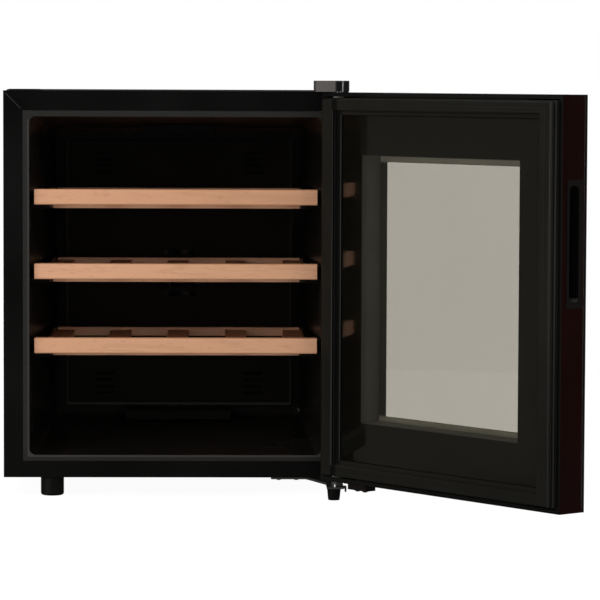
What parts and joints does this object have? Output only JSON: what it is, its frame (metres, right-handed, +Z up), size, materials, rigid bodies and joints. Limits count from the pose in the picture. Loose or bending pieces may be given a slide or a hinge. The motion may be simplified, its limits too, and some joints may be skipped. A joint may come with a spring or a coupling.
{
  "type": "wine cooler",
  "caption": "Free-standing thermoelectric wine cooler with a hinged glazed door and sliding beech shelves for lying bottles.",
  "frame": {"origin": "on the floor under the middle of the cabinet", "axes": "+X to the right seen from the front, +Y from the door towards the back, +Z up"},
  "size_m": [0.6919, 0.7998, 0.5215],
  "materials": {
    "black_steel": "satin black paint",
    "base_steel": "satin black paint",
    "galvanised": "spangled zinc",
    "liner_plastic": "gloss black, vacuum formed",
    "runner_plastic": "black, moulded",
    "foam": "rigid polyurethane foam",
    "duct_plastic": "gloss black",
    "fan_plastic": "glass-filled black",
    "rotor_plastic": "black",
    "heat_sink": "mill finish",
    "ceramic_module": "white ceramic plates",
    "guard_wire": "plated wire",
    "circuit_board": "green solder mask",
    "gland_plastic": "black nylon",
    "light_plastic": "black",
    "lens_plastic": "frosted",
    "sensor_plastic": "black",
    "hinge_steel": "zinc plated",
    "pin_steel": "turned",
    "hinge_cover": "satin dark grey",
    "cap_plastic": "black",
    "screw_steel": "zinc plated",
    "foot_plastic": "black, slightly worn",
    "door_gloss": "very dark maroon gloss",
    "front_glass": "smoked, toughened",
    "inner_pane": "lightly tinted",
    "spacer_plastic": "olive grey",
    "door_frame": "satin black",
    "gasket": "soft black vinyl",
    "magnet": "bonded ferrite",
    "handle_plastic": "gloss black",
    "bush_plastic": "acetal",
    "stop_plastic": "black",
    "beech": "clear lacquered beech"
  },
  "bodies": {
    "cabinet": {"left_side_panel": "black_steel", "right_side_panel": "black_steel", "top_panel": "black_steel", "base_plate": "base_steel", "rear_panel": "galvanised", "liner": "liner_plastic", "shelf_runners": "runner_plastic", "insulation": "foam", "duct_panel": "duct_plastic", "inner_fan_frame": "fan_plastic", "cold_heat_sink": "heat_sink", "spacer_block": "heat_sink", "thermoelectric_module": "ceramic_module", "hot_heat_sink": "heat_sink", "outer_fan_frame": "fan_plastic", "fan_guard": "guard_wire", "power_board": "circuit_board", "cable_gland": "gland_plastic", "light_housing": "light_plastic", "light_lens": "lens_plastic", "temperature_sensor": "sensor_plastic", "drip_tray": "duct_plastic", "top_hinge_bracket": "hinge_steel", "top_hinge_pin": "pin_steel", "top_hinge_cover": "hinge_cover", "lower_hinge_bracket": "hinge_steel", "lower_hinge_pin": "pin_steel", "hinge_hole_cap": "cap_plastic", "cabinet_screws": "screw_steel", "rear_feet": "foot_plastic"},
    "door": {"door_shell": "door_gloss", "outer_glass": "front_glass", "inner_glass": "inner_pane", "glass_spacer": "spacer_plastic", "inner_frame": "door_frame", "door_insulation": "foam", "door_gasket": "gasket", "gasket_magnets": "magnet", "handle_pocket": "handle_plastic", "control_board": "circuit_board", "top_hinge_bush": "bush_plastic", "lower_hinge_bush": "bush_plastic", "door_stop_plate": "stop_plastic", "door_screws": "screw_steel"},
    "inner_fan": {"inner_fan_rotor": "rotor_plastic"},
    "outer_fan": {"outer_fan_rotor": "rotor_plastic"},
    "left_foot": {"left_front_foot": "foot_plastic"},
    "right_foot": {"right_front_foot": "foot_plastic"},
    "shelf_1": {"shelf_1_front_bar": "beech", "shelf_1_slats": "beech", "shelf_1_battens": "beech", "shelf_1_back_rail": "beech"},
    "shelf_2": {"shelf_2_front_bar": "beech", "shelf_2_slats": "beech", "shelf_2_battens": "beech", "shelf_2_back_rail": "beech"},
    "shelf_3": {"shelf_3_front_bar": "beech", "shelf_3_slats": "beech", "shelf_3_battens": "beech", "shelf_3_back_rail": "beech"}
  },
  "joints": [
    {"name": "door_hinge", "type": "hinge", "parent": "cabinet", "child": "door", "pos_m": [0.202, -0.241, 0], "axis": [0, 0, 1], "range_deg": [-128, 6]},
    {"name": "shelf_1_slide", "type": "slide", "parent": "cabinet", "child": "shelf_1", "axis": [0, -1, 0], "range_m": [0, 0.2]},
    {"name": "shelf_2_slide", "type": "slide", "parent": "cabinet", "child": "shelf_2", "axis": [0, -1, 0], "range_m": [0, 0.2]},
    {"name": "shelf_3_slide", "type": "slide", "parent": "cabinet", "child": "shelf_3", "axis": [0, -1, 0], "range_m": [0, 0.2]},
    {"name": "inner_fan_spin", "type": "hinge", "parent": "cabinet", "child": "inner_fan", "pos_m": [0, 0.118, 0.262], "axis": [0, 1, 0], "continuous": true},
    {"name": "outer_fan_spin", "type": "hinge", "parent": "cabinet", "child": "outer_fan", "pos_m": [0, 0.1985, 0.262], "axis": [0, 1, 0], "continuous": true},
    {"name": "left_foot_screw", "type": "slide", "parent": "cabinet", "child": "left_foot", "axis": [0, 0, -1], "range_m": [0, 0.008]},
    {"name": "right_foot_screw", "type": "slide", "parent": "cabinet", "child": "right_foot", "axis": [0, 0, -1], "range_m": [0, 0.008]}
  ]
}
